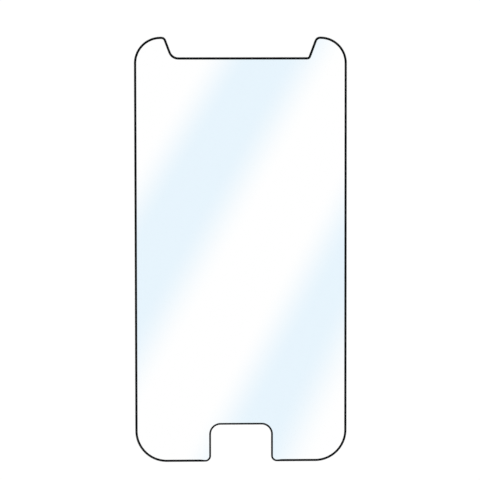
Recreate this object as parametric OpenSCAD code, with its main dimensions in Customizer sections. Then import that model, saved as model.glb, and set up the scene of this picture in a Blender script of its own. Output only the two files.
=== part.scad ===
// Screen protector for a phone: one sheet of toughened glass, cut out at the top between
// two ears for the earpiece and camera, and notched at the bottom for a home button.
// It lies face up on XY, centred on the origin, with its ears towards +Y and its
// adhesive side at Z = 0.

/* [Sheet] */
// Width of the sheet between its parallel sides
sheet_w = 66; // [60:0.5:76]
// Height of the sheet from its bottom edge to the tops of its ears
sheet_h = 132.5; // [110:0.5:160]
// Thickness of the glass
glass_t = 0.33; // [0.3:0.01:0.5]
// Radius of the two bottom corners
bottom_r = 9.8; // [3:0.1:14]
// Radius of the ears' outer shoulders
shoulder_r = 8.2; // [3:0.1:9]

/* [Cut-out between the ears] */
// Width of the cut-out along its floor
cutout_w = 42.1; // [36:0.1:46]
// Length of the ears' inner flanks, along their slope
flank_len = 6.8; // [5:0.1:9]
// How far a flank leans out, as a share of its length
flank_lean = 0.352; // [0.1:0.001:0.5]
// Radius of the left ear's tip
left_tip_r = 1.56; // [1.1:0.01:3]
// Radius of the right ear's tip
right_tip_r = 1.82; // [1.1:0.01:3]
// Radius of the fillet at the foot of the left ear
left_foot_r = 2.6; // [0.3:0.01:4]
// Radius of the fillet at the foot of the right ear
right_foot_r = 0.52; // [0.3:0.01:4]

/* [Notch for the home button] */
// Width of the notch
notch_w = 18.8; // [14:0.2:24]
// Depth of the notch above the bottom edge
notch_d = 11.6; // [8:0.2:16]
// Radius of the notch's two inner corners
notch_r = 3; // [0.5:0.1:5]
// Radius of the two corners at the notch's mouth
mouth_r = 1.8; // [1.1:0.1:4]

/* [Ground rim] */
// Width of the rounded rim, seen from above
rim_w = 0.5; // [0.4:0.05:0.8]
// Drop of the rim from the face to the edge
rim_drop = 0.2; // [0.12:0.01:0.2]
// Angle at which the rim's curve meets the face, in degrees
rim_meet = 4; // [2:0.5:6]
// Size of the fine bevel round the adhesive side
bevel = 0.05; // [0.02:0.01:0.08]

/* [Hidden] */
// Above 12 sides, a circle stands for a true one
$fn = 96;

// The rim's curve is an arc from the edge up to the face
rim_chord = norm([rim_w, rim_drop]);
rim_r = rim_chord / (2 * sin(atan(rim_drop / rim_w) - rim_meet));
rim_centre = [rim_w + rim_r * sin(rim_meet), glass_t - rim_r * cos(rim_meet)];

// The sheet is a flat middle and a margin that carries the rim and overlaps the middle all round
overlap = 0.1;
inset = rim_w + overlap;
// Each corner brings half of its arc and half of the straights beside it, and a little over
half_share = 0.6;
// Share of a side that the arcs at its two ends may take up between them
arc_share = 0.995;

// Half widths and heights of the outline, from the middle of the sheet
side_x = sheet_w / 2;
end_y = sheet_h / 2;
notch_x = notch_w / 2;
floor_x = cutout_w / 2;
floor_y = end_y - flank_len * sqrt(1 - flank_lean * flank_lean);
tip_x = floor_x + flank_len * flank_lean;

// Each corner's x, y and radius, anticlockwise from the bottom left
corners = [
    [-side_x, -end_y, bottom_r],
    [-notch_x, -end_y, mouth_r],
    [-notch_x, notch_d - end_y, notch_r],
    [notch_x, notch_d - end_y, notch_r],
    [notch_x, -end_y, mouth_r],
    [side_x, -end_y, bottom_r],
    [side_x, end_y, shoulder_r],
    [tip_x, end_y, right_tip_r],
    [floor_x, floor_y, right_foot_r],
    [-floor_x, floor_y, left_foot_r],
    [-tip_x, end_y, left_tip_r],
    [-side_x, end_y, shoulder_r]
];
last = len(corners) - 1;

// Corner i as a point, the side that leaves it, and the outline's turn there, positive to the left
function wrap(i) = (i + last + 1) % (last + 1);
function corner(i) = [corners[wrap(i)][0], corners[wrap(i)][1]];
function side(i) = corner(i + 1) - corner(i);
function heading(i) = atan2(side(i)[1], side(i)[0]);
function turn(i) = (heading(i) - heading(i - 1) + 540) % 360 - 180;
function ahead(a) = [cos(a), sin(a)];
function leftward(a) = [-sin(a), cos(a)];

// Length of side that an arc of radius r takes up at corner i
function reach(i, r) = r * tan(abs(turn(i)) / 2);
// Radius at corner i: as asked for, or less where two arcs would overrun the side between them
function asked(i) = corners[wrap(i)][2];
function room(i) = arc_share * norm(side(i)) / (reach(i, asked(i)) + reach(i + 1, asked(i + 1)));
function radius(i) = asked(i) * min(1, room(i), room(i - 1));

// Where corner i's arc starts and ends, its centre, and the straight that follows it
function arc_start(i) = corner(i) - reach(i, radius(i)) * ahead(heading(i - 1));
function arc_end(i) = corner(i) + reach(i, radius(i)) * ahead(heading(i));
function arc_centre(i) = arc_start(i) + sign(turn(i)) * radius(i) * leftward(heading(i - 1));
function straight(i) = norm(arc_start(i + 1) - arc_end(i));

// Section of the sheet's margin, with the edge at x = 0 and the glass towards +x
module margin(depth) {
    intersection() {
        polygon([[bevel, 0], [depth, 0], [depth, glass_t], [0, glass_t], [0, bevel]]);
        union() {
            translate(rim_centre) circle(r = rim_r);
            translate([rim_centre[0], -glass_t]) square([depth, 3 * glass_t]);
        }
    }
}

// Half of corner i, with its arc's centre at the origin and the glass towards +y: the arc runs
// up to x = 0, and the straight of the given run leads on from there along +x
module half_corner(i, run) {
    r = radius(i);
    sweep = half_share * abs(turn(i));
    outer = turn(i) > 0;
    translate([0, outer ? -r : r, 0]) rotate([90, 0, 90]) linear_extrude(half_share * run)
        margin(inset + overlap);
    if (outer) {
        rotate_extrude(angle = sweep, start = -90 - sweep) translate([r, 0]) mirror([1, 0])
            margin(r - (r - inset) * cos(turn(i) / 2) + overlap);
    } else {
        rotate_extrude(angle = sweep, start = 90) translate([r, 0])
            margin((r + inset) / cos(turn(i) / 2) - r + overlap);
    }
}

module whole_corner(i) {
    translate(concat(arc_centre(i), 0)) {
        rotate([0, 0, heading(i)]) half_corner(i, straight(i));
        rotate([0, 0, heading(i - 1)]) mirror([1, 0, 0]) half_corner(i, straight(i - 1));
    }
}

// The middle's points at corner i: one at an inner corner, and two across an outer one
function middle_points(i) = turn(i) > 0
    ? [
        arc_start(i) + inset * leftward(heading(i - 1)),
        arc_end(i) + inset * leftward(heading(i))
    ]
    : [arc_centre(i) + (corner(i) - arc_centre(i)) * (radius(i) + inset) / radius(i)];

module middle() {
    linear_extrude(glass_t) polygon([for (i = [0 : last]) each middle_points(i)]);
}

module glass() {
    color("aliceblue") {
        middle();
        for (i = [0 : last]) whole_corner(i);
    }
}

glass();
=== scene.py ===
# %% [markdown]
# # A phone screen protector of clear glass
#
# The object is one flat sheet of toughened glass, a third of a millimetre thick. It is cut out at the top,
# between two ears, for the phone's earpiece, and notched at the bottom for a home button. The imported solid
# gives its size and its place. This lesson gives it its look: clear coated glass with two soft blue bands of
# painted reflection, and a ground rim painted near black as shade, which draws its outline on a white table.

import bpy
import numpy as np
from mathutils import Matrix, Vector


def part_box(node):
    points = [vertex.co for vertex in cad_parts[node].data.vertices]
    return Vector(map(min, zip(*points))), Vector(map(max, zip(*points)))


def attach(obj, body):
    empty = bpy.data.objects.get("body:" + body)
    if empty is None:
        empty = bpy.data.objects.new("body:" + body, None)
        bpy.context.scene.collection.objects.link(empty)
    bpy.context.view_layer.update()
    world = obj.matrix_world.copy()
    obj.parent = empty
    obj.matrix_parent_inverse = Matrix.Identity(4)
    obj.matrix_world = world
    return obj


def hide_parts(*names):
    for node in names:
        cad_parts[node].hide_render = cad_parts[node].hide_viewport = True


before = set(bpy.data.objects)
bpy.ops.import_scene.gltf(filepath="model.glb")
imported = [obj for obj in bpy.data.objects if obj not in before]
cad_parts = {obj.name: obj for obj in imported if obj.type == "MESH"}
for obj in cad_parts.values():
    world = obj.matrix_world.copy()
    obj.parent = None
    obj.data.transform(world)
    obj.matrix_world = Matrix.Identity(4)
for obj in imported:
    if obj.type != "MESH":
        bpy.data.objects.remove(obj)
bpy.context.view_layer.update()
print("packed nodes:", sorted(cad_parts))

# %% [markdown]
# ## The sizes of the sheet
#
# A glass cutter works from a drawing that gives the corners of the sheet and the radius of each. The width,
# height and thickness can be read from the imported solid, so they can't drift from it. The cut-out and the
# notch are named here with the drawing's own sizes, in millimetres turned to metres.

# %% Name the sizes
MM = 0.001

low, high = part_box("glass")
side_x = high.x
end_y = high.y
thickness = high.z - low.z

bottom_radius = 9.8 * MM
shoulder_radius = 8.2 * MM
cutout_half = 21.05 * MM

# An ear's inner flank leans out by a share of its length, and the two ears are not quite alike
flank_length = 6.8 * MM
flank_lean = 0.352
left_tip_radius = 1.56 * MM
right_tip_radius = 1.82 * MM
left_foot_radius = 2.6 * MM
right_foot_radius = 0.52 * MM

notch_half = 9.4 * MM
notch_depth = 11.6 * MM
notch_radius = 3 * MM
mouth_radius = 1.8 * MM
print(f"sheet {2 * side_x / MM:.2f} x {2 * end_y / MM:.2f} x {thickness / MM:.2f} mm")

# %% [markdown]
# ## The outline
#
# The edge is a closed path of straight sides and round corners. It could be drawn by hand as a Bezier
# curve, but a drawing's corner is a true arc, and a Bezier handle only comes close to one. So the path is
# worked out as the cutter's machine does it: from the corner points, with an arc let into each. All corners
# are handled at once, as rows of one array.

# %% List the corners, anticlockwise from the bottom left
floor_y = end_y - flank_length * np.sqrt(1 - flank_lean**2)
tip_x = cutout_half + flank_length * flank_lean
notch_y = notch_depth - end_y

corners = np.array([
    (-side_x, -end_y, bottom_radius),
    (-notch_half, -end_y, mouth_radius),
    (-notch_half, notch_y, notch_radius),
    (notch_half, notch_y, notch_radius),
    (notch_half, -end_y, mouth_radius),
    (side_x, -end_y, bottom_radius),
    (side_x, end_y, shoulder_radius),
    (tip_x, end_y, right_tip_radius),
    (cutout_half, floor_y, right_foot_radius),
    (-cutout_half, floor_y, left_foot_radius),
    (-tip_x, end_y, left_tip_radius),
    (-side_x, end_y, shoulder_radius),
])
print(f"{len(corners)} corners")


# %% Round the corners
def leftward(heading):
    """The unit vector a quarter turn to the left of a heading: minus its sine, and its cosine."""
    return np.stack([-np.sin(heading), np.cos(heading)], -1)


def round_corners(corners, steps):
    """Points along the rounded path, and the way into the sheet at each.

    Where the path turns by an angle, an arc of radius r touches both sides at r times the tangent of half
    that angle from the corner. Its centre is r to the side that the path turns to. A point of the arc is
    the centre less r times the leftward vector of a heading that swings evenly from side to side. The path
    runs anticlockwise, so leftward is into the glass.
    """
    place = corners[:, :2]
    radius = corners[:, 2]
    side = np.roll(place, -1, axis=0) - place
    leaving = np.arctan2(side[:, 1], side[:, 0])
    coming = np.roll(leaving, 1)
    turn = (leaving - coming + np.pi) % (2 * np.pi) - np.pi
    reach = radius * np.tan(np.abs(turn) / 2)
    to_centre = np.sign(turn) * radius

    ahead = np.stack([np.cos(coming), np.sin(coming)], -1)
    start = place - reach[:, None] * ahead
    centre = start + to_centre[:, None] * leftward(coming)

    share = np.linspace(0, 1, steps)
    inward = leftward(coming[:, None] + turn[:, None] * share)
    points = centre[:, None] - to_centre[:, None, None] * inward
    return points.reshape(-1, 2), inward.reshape(-1, 2)


arc_steps = 49
edge, inward = round_corners(corners, arc_steps)
print(f"{len(edge)} points on {len(corners)} arcs")

# %% [markdown]
# ## The section of the rim
#
# The edge of such a sheet is ground in a form wheel: a hair of a bevel round the underside, a short
# upright wall, and a shallow arc that rolls over onto the face. A Bevel modifier could round the edge, but
# its arc is the same on both sides. Here the section is drawn once, as a row of insets from the edge and
# a row of heights, and then carried round the outline.

# %% Draw the section
rim_width = 0.5 * MM
rim_drop = 0.2 * MM
rim_meets_face_at = np.radians(4)
bevel = 0.05 * MM
roll_steps = 13

# The numbers of the section's points where it has a corner
bevel_foot = 0
bevel_top = 1
wall_top = 2
roll_end = wall_top + roll_steps - 1


def rim_section():
    """Insets from the edge and heights above the underside, from the bevel up to the face.

    The arc's chord goes from the top of the wall to the face. Its radius is half the chord over the sine
    of the angle between the chord and the end where it meets the face. A point of the arc is the centre
    plus the radius times a direction that swings from the wall's end to the face's end.
    """
    slope = np.arctan(rim_drop / rim_width)
    radius = np.hypot(rim_width, rim_drop) / 2 / np.sin(slope - rim_meets_face_at)
    swing = np.linspace(2 * slope - rim_meets_face_at, rim_meets_face_at, roll_steps)
    centre_inset = rim_width + radius * np.sin(rim_meets_face_at)
    centre_height = thickness - radius * np.cos(rim_meets_face_at)
    inset = np.concatenate([[bevel, 0], centre_inset - radius * np.sin(swing)])
    height = np.concatenate([[0, bevel], centre_height + radius * np.cos(swing)])
    return inset, height


section_inset, section_height = rim_section()
wall_height = section_height[wall_top]
face_height = section_height[roll_end]
print(f"the rim rolls from {wall_height / MM:.2f} mm up at the wall to {face_height / MM:.2f} mm at the face")

# %% [markdown]
# ## How wide the dark line is
#
# Seen from above, the ground rim and the glass just inside it bend the light away and look nearly black.
# That line is what gives a clear sheet its outline. Round the sheet it is a little wider than the rim's
# arc. The notch is ground with a smaller wheel, and its line is finer, right out to the ends of its mouth.
# There it eases up to the full width along the first stretch of the bottom edge. A straight side has no
# points between its two arcs, so the ease needs a few of its own.

# %% Give each point its line
# The dark line is painted shade, drawn as the rim's near-black colour over this width
line_width = 0.71 * MM
notch_line_width = 0.57 * MM
ease_length = 1.6 * MM
ease_steps = 8

# The second to the fifth corner of the list
notch_corners = slice(1, 5)

corner_line = np.full(len(corners), line_width)
corner_line[notch_corners] = notch_line_width
stations = np.column_stack([edge, inward, np.repeat(corner_line, arc_steps)])


def ease(fine, wide):
    """Stations along a straight, from its fine end, over the length in which the line widens.

    A station is a place, the way in, and the line's width. The place moves evenly towards the wide end.
    The width follows the smooth step, three times the share squared less twice its cube.
    """
    share = np.linspace(0, 1, ease_steps + 1)[1:]
    run = ease_length / np.linalg.norm(wide[:2] - fine[:2])
    eased = fine + (wide - fine) * run * share[:, None]
    eased[:, -1] = fine[-1] + (wide[-1] - fine[-1]) * share**2 * (3 - 2 * share)
    return eased


notch_start = notch_corners.start * arc_steps
notch_end = notch_corners.stop * arc_steps
stations = np.vstack([
    stations[:notch_start],
    ease(stations[notch_start], stations[notch_start - 1])[::-1],
    stations[notch_start:notch_end],
    ease(stations[notch_end - 1], stations[notch_end]),
    stations[notch_end:],
])
edge = stations[:, :2]
inward = stations[:, 2:4]
line = stations[:, -1]
print(f"{len(edge)} points round the edge, dark line {line.min() / MM:.2f} to {line.max() / MM:.2f} mm")

# %% [markdown]
# ## The sheet
#
# The surface has two parameters: how far along the edge, and how far across the section. Each row of the
# grid is one ring round the sheet. One more ring on the face ends the dark line, and two flat faces with
# many corners close the sheet above and below. Flat glass needs no inner edges, so a single face is its
# truest mesh.


# %% Carry the section round the outline
def sweep(edge, inward, inset, height):
    """A grid of points, a ring for each inset: the edge plus the inset times the way in, at the height."""
    flat = edge[None] + inset[..., None] * inward[None]
    level = np.broadcast_to(height[:, None, None], (*flat.shape[:2], 1))
    return np.concatenate([flat, level], -1)


ring_inset = np.vstack([np.repeat(section_inset[:, None], len(edge), axis=1), line])
ring_height = np.append(section_height, thickness)
grid = sweep(edge, inward, ring_inset, ring_height)
rings, around = grid.shape[:2]
print(f"{rings} rings of {around} points")


# %% Build the mesh
def ring_quads(rings, around):
    """Four corners for each quad between one ring and the next, listed so that the quads face outwards."""
    ring, place = np.meshgrid(np.arange(rings - 1), np.arange(around), indexing="ij")
    here = ring * around + place
    beside = ring * around + (place + 1) % around
    return np.stack([here, beside, beside + around, here + around], -1).reshape(-1, 4)


quads = ring_quads(rings, around)
topside = np.arange(around) + (rings - 1) * around

# The underside lists its corners backwards, so that it faces down
underside = np.arange(around)[::-1]

sheet_mesh = bpy.data.meshes.new("glass_sheet")
sheet_mesh.from_pydata(grid.reshape(-1, 3), [], [*quads.tolist(), underside.tolist(), topside.tolist()])
sheet = bpy.data.objects.new("glass_sheet", sheet_mesh)
bpy.context.scene.collection.objects.link(sheet)
print(f"{len(sheet_mesh.polygons)} faces")

# %% [markdown]
# ## As much glass as the solid
#
# The mesh is drawn anew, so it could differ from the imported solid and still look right. A volume takes in
# every face of a closed mesh, and only comes out right if all of them point outwards. The two volumes are
# worked out in the same way and set side by side.


# %% Compare the volumes
def volume(mesh):
    """A sixth of the sum, over all triangles, of one corner dotted with the cross product of the others."""
    mesh.calc_loop_triangles()
    place = np.empty(len(mesh.vertices) * 3, np.float32)
    mesh.vertices.foreach_get("co", place)
    triangle = np.empty(len(mesh.loop_triangles) * 3, np.int32)
    mesh.loop_triangles.foreach_get("vertices", triangle)
    a, b, c = place.reshape(-1, 3)[triangle.reshape(-1, 3)].transpose(1, 0, 2).astype(float)
    return np.einsum("ij,ij->", a, np.cross(b, c)) / 6


cad_volume = volume(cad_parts["glass"].data)
print(f"volume {volume(sheet_mesh) / MM**3:.1f} mm3, the packed solid's {cad_volume / MM**3:.1f} mm3")

# %% [markdown]
# ## Crisp and smooth edges
#
# The roll of the rim is smooth, but it meets the wall and the face at a real edge, left by the wheel. Those
# edges are marked sharp, as an Edge Split or an auto smooth angle would do by guessing. The rings are known
# by number here, so nothing is guessed.

# %% Mark the rings where the section has a corner
ends = np.empty(len(sheet_mesh.edges) * 2, np.int32)
sheet_mesh.edges.foreach_get("vertices", ends)
ring_of_ends = ends.reshape(-1, 2) // around
along_ring = ring_of_ends[:, 0] == ring_of_ends[:, 1]
sharp = along_ring & np.isin(ring_of_ends[:, 0], [bevel_foot, bevel_top, wall_top, roll_end])
sheet_mesh.attributes.new("sharp_edge", "BOOLEAN", "EDGE").data.foreach_set("value", sharp)

is_rim = np.arange(len(sheet_mesh.polygons)) < len(quads)
sheet_mesh.polygons.foreach_set("use_smooth", is_rim)
sheet_mesh.polygons.foreach_set("material_index", is_rim.astype(np.int32))
print(f"{sharp.sum()} sharp edges, {is_rim.sum()} faces on the rim")

# %% [markdown]
# ## A map for the grinding marks
#
# The wheel runs along the edge, so its marks do too. A pattern on Object coordinates would cross the
# corners at a slant. A UV map that counts millimetres along the edge and across the section follows the
# wheel round every corner.

# %% Lay out the rim in millimetres
side_lengths = np.linalg.norm(np.roll(edge, -1, axis=0) - edge, axis=1)
along = np.append(0, np.cumsum(side_lengths)) / MM
section_steps = np.linalg.norm(np.diff(grid, axis=0), axis=-1).max(axis=1)
across = np.append(0, np.cumsum(section_steps)) / MM

column = np.tile(np.arange(around), rings - 1)
row = np.repeat(np.arange(rings - 1), around)
rim_u = along[np.stack([column, column + 1, column + 1, column], -1)]
rim_v = across[np.stack([row, row, row + 1, row + 1], -1)]

# The two flat faces are laid out as they lie, the underside with its corners backwards
flat_uv = grid[[0, -1], :, :2] / MM
flat_uv[0] = flat_uv[0, ::-1]
uv = np.concatenate([np.stack([rim_u, rim_v], -1).reshape(-1, 2), flat_uv.reshape(-1, 2)])
sheet_mesh.uv_layers.new(name="rim_mm").uv.foreach_set("vector", uv.astype(np.float32).ravel())
print(f"the rim unrolls to {along[-1]:.1f} x {across[-1]:.2f} mm")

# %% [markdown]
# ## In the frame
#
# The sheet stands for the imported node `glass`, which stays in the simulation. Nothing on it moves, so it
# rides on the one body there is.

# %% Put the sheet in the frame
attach(sheet, "root")
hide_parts("glass")
print(sheet.name, "stands for the node glass")

# %% [markdown]
# ## Colours and nodes
#
# A colour picked on a screen is in sRGB, and Blender's shaders work in linear light, so one function turns
# the one into the other. One more adds a node with its settings, its numbers and its links, so that a
# material reads as a list of what it is made of. A third starts a material with no nodes in it.


# %% Helpers for materials
def linear(hex_colour):
    """An sRGB colour such as #E6F4FD as linear red, green, blue and an alpha of 1.

    A level up to 0.04045 is divided by 12.92. A higher one has 0.055 added, is divided by 1.055 and is
    raised to the power 2.4.
    """
    srgb = np.array([int(hex_colour[i : i + 2], 16) for i in (1, 3, 5)]) / 255
    return (*np.where(srgb <= 0.04045, srgb / 12.92, ((srgb + 0.055) / 1.055) ** 2.4), 1.0)


def add(tree, kind, links=None, numbers=None, **settings):
    """Adds a node of a kind, with its settings, its sockets' numbers and the sockets that feed it."""
    node = tree.nodes.new("ShaderNode" + kind)
    for name, value in settings.items():
        setattr(node, name, value)
    for socket, value in (numbers or {}).items():
        node.inputs[socket].default_value = value
    for socket, source in (links or {}).items():
        tree.links.new(source, node.inputs[socket])
    return node


def new_material(name):
    """An empty node material and its tree."""
    material = bpy.data.materials.new(name)
    material.use_nodes = True
    material.node_tree.nodes.clear()
    return material, material.node_tree


white = linear("#FFFFFF")
print("white in linear light:", white)

# %% [markdown]
# ## Toughened glass with a repellent coating
#
# The sheet is float glass, thinned, toughened in a salt bath and coated on its face so that fingers slide
# on it. Float glass is all but perfectly clear and flat. The coating is a few hundredths of a micrometre
# thick. The pale blue in the two broad bands that cross the sheet from lower left to upper right is a
# painted reflection, put into the glass's own colour as a tint that stays fixed to the sheet. A real
# reflection could only add light, and nothing is lighter than the white table, so this one darkens instead.
#
# A band is one smooth step up less one smooth step down. Its two sides are not quite parallel, so each step
# has an angle of its own. How far a point lies across a step is the dot product of its place and the step's
# direction. A thumb leaves smears about 22 mm across, and a noise of that size roughens the glass where they
# are, by so little that they only soften what it mirrors.

# %% Make the glass
# The bands' pale blue is a painted reflection, put into the glass's colour
painted_reflection_colour = "#E6F4FD"

# Each side of a band of painted reflection: its angle in degrees, where its step starts and ends, and what it
# does to the painted reflection
painted_reflection_sides = [
    (59, -41.5 * MM, -28 * MM, "ADD"),
    (60.5, -17.5 * MM, -2.5 * MM, "SUBTRACT"),
    (61.5, 14.5 * MM, 28.5 * MM, "ADD"),
    (64.5, 33 * MM, 49 * MM, "SUBTRACT"),
]

glass_ior = 1.52
smooth_glass = 0.004
smeared_glass = 0.02
smear_size = 22 * MM
smear_detail = 3

# The levels of the noise at which the smears start and are full
smears_start = 0.35
smears_full = 0.7


def toughened_glass():
    """Clear float glass with a coating: full transmission, a painted reflection tinting two bands blue, and
    faint smears.
    """
    material, tree = new_material("toughened_glass_painted_reflection")
    place = add(tree, "TexCoord").outputs["Object"]

    painted_reflection_mask = None
    for angle, start, end, operation in painted_reflection_sides:
        direction = (np.sin(np.radians(angle)), -np.cos(np.radians(angle)), 0)
        across = add(
            tree, "VectorMath", {0: place}, {1: direction}, operation="DOT_PRODUCT"
        ).outputs["Value"]
        step = add(
            tree, "MapRange", {"Value": across}, {"From Min": start, "From Max": end},
            interpolation_type="SMOOTHSTEP",
        ).outputs["Result"]
        if painted_reflection_mask is None:
            painted_reflection_mask = step
        else:
            painted_reflection_mask = add(tree, "Math", {0: painted_reflection_mask, 1: step}, operation=operation).outputs[0]
    # The painted reflection: white glass, pale blue inside the bands
    painted_reflection_tint = add(
        tree, "Mix", {"Factor": painted_reflection_mask}, {"A": white, "B": linear(painted_reflection_colour)}, data_type="RGBA"
    )

    smears = add(tree, "TexNoise", {"Vector": place}, {"Scale": 1 / smear_size, "Detail": smear_detail})
    roughness = add(
        tree, "MapRange", {"Value": smears.outputs["Fac"]},
        {
            "From Min": smears_start,
            "From Max": smears_full,
            "To Min": smooth_glass,
            "To Max": smeared_glass,
        },
    )
    glass = add(
        tree, "BsdfPrincipled",
        {"Base Color": painted_reflection_tint.outputs["Result"], "Roughness": roughness.outputs["Result"]},
        {"IOR": glass_ior, "Transmission Weight": 1.0},
    )
    add(tree, "OutputMaterial", {"Surface": glass.outputs["BSDF"]})
    return material


sheet_mesh.materials.append(toughened_glass())
for angle, start, end, _ in painted_reflection_sides:
    print(f"a band's side at {angle} degrees, from {start / MM:.1f} to {end / MM:.1f} mm")

# %% [markdown]
# ## The ground rim
#
# A diamond wheel leaves a fine satin, with marks that run along the edge. Ground glass lets no clear view
# through, and the edge bends the light away, so against white it looks nearly black. That shade is painted
# as the rim's near-black colour. Its marks are about 0.02 mm apart, too fine to show in the picture, so
# they are drawn four times as coarse. The satin scatters what little it reflects, so the specular level
# is low.

# %% Make the rim
# The near-black colour is painted shade, a little lighter along the marks
rim_painted_shade = "#020303"
rim_painted_shade_at_marks = "#0C1012"
smoother_satin = 0.28
rougher_satin = 0.5
rim_specular = 0.04

# The marks' length and width are in the map's millimetres, and their depth in metres
mark_length = 2.4
mark_width = 0.08
mark_depth = 0.004 * MM
mark_detail = 4
mark_fineness = 0.6
mark_strength = 0.5


def ground_rim_painted_shade():
    """Ground glass edge: satin, with streaks that follow the wheel, and a near-black colour that is painted
    shade.
    """
    material, tree = new_material("ground_edge_painted_shade")
    unrolled = add(tree, "UVMap", uv_map="rim_mm").outputs["UV"]
    stretched = add(
        tree, "Mapping", {"Vector": unrolled}, {"Scale": (1 / mark_length, 1 / mark_width, 1)}
    ).outputs["Vector"]
    marks = add(
        tree, "TexNoise", {"Vector": stretched},
        {"Scale": 1, "Detail": mark_detail, "Roughness": mark_fineness},
    ).outputs["Fac"]
    colour = add(
        tree, "Mix", {"Factor": marks}, {"A": linear(rim_painted_shade), "B": linear(rim_painted_shade_at_marks)},
        data_type="RGBA",
    )
    roughness = add(
        tree, "MapRange", {"Value": marks}, {"To Min": smoother_satin, "To Max": rougher_satin}
    )
    bump = add(tree, "Bump", {"Height": marks}, {"Strength": mark_strength, "Distance": mark_depth})
    rim = add(
        tree, "BsdfPrincipled",
        {
            "Base Color": colour.outputs["Result"],
            "Roughness": roughness.outputs["Result"],
            "Normal": bump.outputs["Normal"],
        },
        {"IOR": glass_ior, "Specular IOR Level": rim_specular},
    )
    add(tree, "OutputMaterial", {"Surface": rim.outputs["BSDF"]})
    return material


sheet_mesh.materials.append(ground_rim_painted_shade())
print("finishes:", [m.name for m in sheet_mesh.materials])

# %% [markdown]
# ## A white table
#
# The sheet lies on a white board with white all round. Light strong enough to burn the board out would
# wash the glass out too, so the light stays plain. What a camera, a mirror or a pane of glass looks at is
# made white instead: Light Path tells those rays apart, and gives them a strength of 1. Where the camera
# sees the board itself, it keeps a share of its matt finish, so that the sheet's shadow stays on it. Seen
# through the glass it is plain white, because so thin a sheet hardly dims what lies under it.

# %% Make the board
board_size = 1.6
matt_share = 0.4

# The board lies a hair below the underside, so that the two surfaces never share a place
board_gap = 0.02 * MM


def seen_in_glass(tree):
    """1 for a ray that was mirrored or that came through glass, else 0."""
    ray = add(tree, "LightPath").outputs
    return add(
        tree, "Math", {0: ray["Is Glossy Ray"], 1: ray["Is Transmission Ray"]}, operation="MAXIMUM"
    ).outputs[0]


def matt_white_board():
    """Matt white board that is mostly shown as plain white where it is looked at."""
    material, tree = new_material("matt_white_board")
    matt = add(tree, "BsdfDiffuse", numbers={"Color": white}).outputs[0]
    plain = add(tree, "Emission", numbers={"Color": white, "Strength": 1.0}).outputs[0]
    direct = add(
        tree, "Math", {0: add(tree, "LightPath").outputs["Is Camera Ray"]}, {1: 1 - matt_share},
        operation="MULTIPLY",
    ).outputs[0]
    share = add(tree, "Math", {0: seen_in_glass(tree), 1: direct}, operation="MAXIMUM").outputs[0]
    shown = add(tree, "MixShader", {0: share, 1: matt, 2: plain})
    add(tree, "OutputMaterial", {"Surface": shown.outputs[0]})
    return material


half_board = board_size / 2
board_corners = [
    (-half_board, -half_board, -board_gap),
    (half_board, -half_board, -board_gap),
    (half_board, half_board, -board_gap),
    (-half_board, half_board, -board_gap),
]
board_mesh = bpy.data.meshes.new("board")
board_mesh.from_pydata(board_corners, [], [(0, 1, 2, 3)])
board_mesh.materials.append(matt_white_board())
board = bpy.data.objects.new("board", board_mesh)
bpy.context.scene.collection.objects.link(board)
print(f"board {board_size} m square, {board_gap / MM:.2f} mm under the glass")

# %% [markdown]
# ## What the glass mirrors
#
# Clear glass is seen by what it mirrors. In a room that is white everywhere it would vanish, so the walls
# of this studio are white at the height of the table and white overhead, and a shade darker between. Seen
# from above, the sheet mirrors the white ceiling and stays clear. Seen at a slant, it mirrors the walls and
# takes a faint cool grey, as a real sheet does on a light box.

# %% Make the studio
wall_colour = "#B7C5D1"
dome_strength = 0.8

# Each shade starts and is full at a height, which is the sine of the elevation
wall_starts = 0.04
wall_full = 0.55
ceiling_starts = 0.80
ceiling_full = 0.95


def white_studio():
    """A world by height, the sine of the elevation: white, cool grey and white again, or plain light.

    The grey is the product of two smooth steps, one up to the wall and one down to the ceiling. It shows
    where a ray looks at the room, and every other ray gets the dome's plain light.
    """
    world = bpy.data.worlds.new("white_studio")
    world.use_nodes = True
    tree = world.node_tree
    tree.nodes.clear()
    way = add(tree, "TexCoord").outputs["Generated"]
    height = add(tree, "SeparateXYZ", {0: way}).outputs["Z"]
    steps = [
        add(
            tree, "MapRange", {"Value": height},
            {"From Min": start, "From Max": full, "To Min": before, "To Max": after},
            interpolation_type="SMOOTHSTEP",
        ).outputs["Result"]
        for start, full, before, after in (
            (wall_starts, wall_full, 0, 1),
            (ceiling_starts, ceiling_full, 1, 0),
        )
    ]
    is_wall = add(tree, "Math", {0: steps[0], 1: steps[1]}, operation="MULTIPLY").outputs[0]
    shade = add(
        tree, "Mix", {"Factor": is_wall}, {"A": white, "B": linear(wall_colour)}, data_type="RGBA"
    ).outputs["Result"]
    looked_at = add(
        tree, "Math", {0: seen_in_glass(tree), 1: add(tree, "LightPath").outputs["Is Camera Ray"]},
        operation="MAXIMUM",
    ).outputs[0]
    room = add(tree, "Background", {"Color": shade}, {"Strength": 1.0}).outputs[0]
    dome = add(tree, "Background", numbers={"Color": white, "Strength": dome_strength}).outputs[0]
    shown = add(tree, "MixShader", {0: looked_at, 1: dome, 2: room})
    add(tree, "OutputWorld", {"Surface": shown.outputs[0]})
    return world


bpy.context.scene.world = white_studio()
print("world:", bpy.context.scene.world.name)

# %% [markdown]
# ## Two soft boxes
#
# A large soft box on the left is the key, and a weaker one on the right fills. Both stand well off the
# line straight up from the sheet, because the glass would mirror them into a camera overhead.

# %% Light the sheet
box_distance = 2.0
box_size = 1.2

# Each box's azimuth and elevation in degrees, and its power in watts
soft_boxes = {
    "key": (-40, 45, 13.0),
    "fill": (130, 40, 6.0),
}


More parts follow.
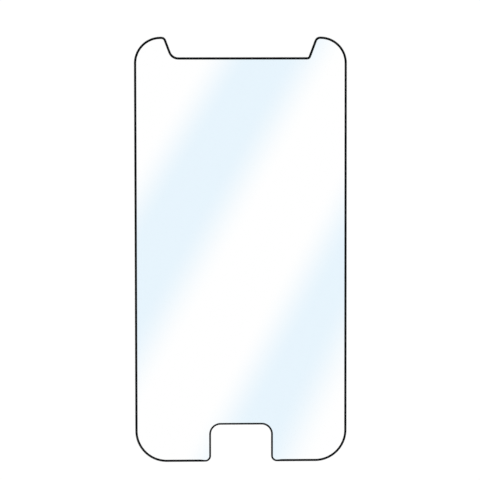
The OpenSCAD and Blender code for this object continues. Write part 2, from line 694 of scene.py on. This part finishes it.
def soft_box(name, azimuth, elevation, power):
    """A square area lamp at an azimuth and elevation, turned to face the sheet.

    The lamp looks down until it is tilted by a right angle less the elevation, and then it is spun by the
    azimuth. It stands at the box's distance, straight behind the way it looks.
    """
    lamp = bpy.data.lights.new(name, "AREA")
    lamp.energy = power
    lamp.size = box_size
    box = bpy.data.objects.new(name, lamp)
    tilt = np.radians(90 - elevation)
    spin = np.radians(azimuth)
    box.rotation_euler = (tilt, 0, spin)
    box.location = (
        box_distance * np.sin(tilt) * np.sin(spin),
        -box_distance * np.sin(tilt) * np.cos(spin),
        box_distance * np.cos(tilt),
    )
    bpy.context.scene.collection.objects.link(box)


for name, (azimuth, elevation, power) in soft_boxes.items():
    soft_box(name, azimuth, elevation, power)
print("lamps:", list(soft_boxes))

# %% [markdown]
# ## The camera
#
# The camera looks down on the sheet with the ears at the top of the picture. It isn't quite square to it: in
# the picture the left side leans in towards the bottom, the bottom edge rises to the right, and the right ear
# is a little lower than the left one. That is what a plain rectangle looks like from a camera that leans by a
# few degrees, because its far corner is drawn a hair smaller. A long lens from high up keeps the sides nearly
# parallel and the edges thin. Its distance follows from the scale of the picture. Its place is the middle of
# the sheet less where that middle lies in the camera's own axes.

# %% Place the camera
picture_side_px = 480
scale_px_per_mm = 3.2135
lens_mm = 200
sensor_mm = 36

# Where the middle of the sheet's face lies in the picture, across and down from its top left corner
sheet_middle_px = (240.8, 250.17)

# How far the camera is turned about X, Y and Z from looking straight down
lean_degrees = (-3.6, -1.8, -0.08)

camera_data = bpy.data.cameras.new("overhead_camera")
camera_data.lens = lens_mm
camera_data.sensor_width = sensor_mm
camera = bpy.data.objects.new("overhead_camera", camera_data)
metres_per_px = MM / scale_px_per_mm
distance = lens_mm / sensor_mm * picture_side_px * metres_per_px
middle_in_view = Vector((
    (sheet_middle_px[0] - picture_side_px / 2) * metres_per_px,
    (picture_side_px / 2 - sheet_middle_px[1]) * metres_per_px,
    -distance,
))
camera.rotation_euler = np.radians(lean_degrees)
camera.location = Vector((0, 0, thickness)) - camera.rotation_euler.to_matrix() @ middle_in_view
bpy.context.scene.collection.objects.link(camera)
bpy.context.scene.camera = camera
bpy.context.scene.view_settings.view_transform = "Standard"
print(f"camera {distance:.3f} m from the glass")
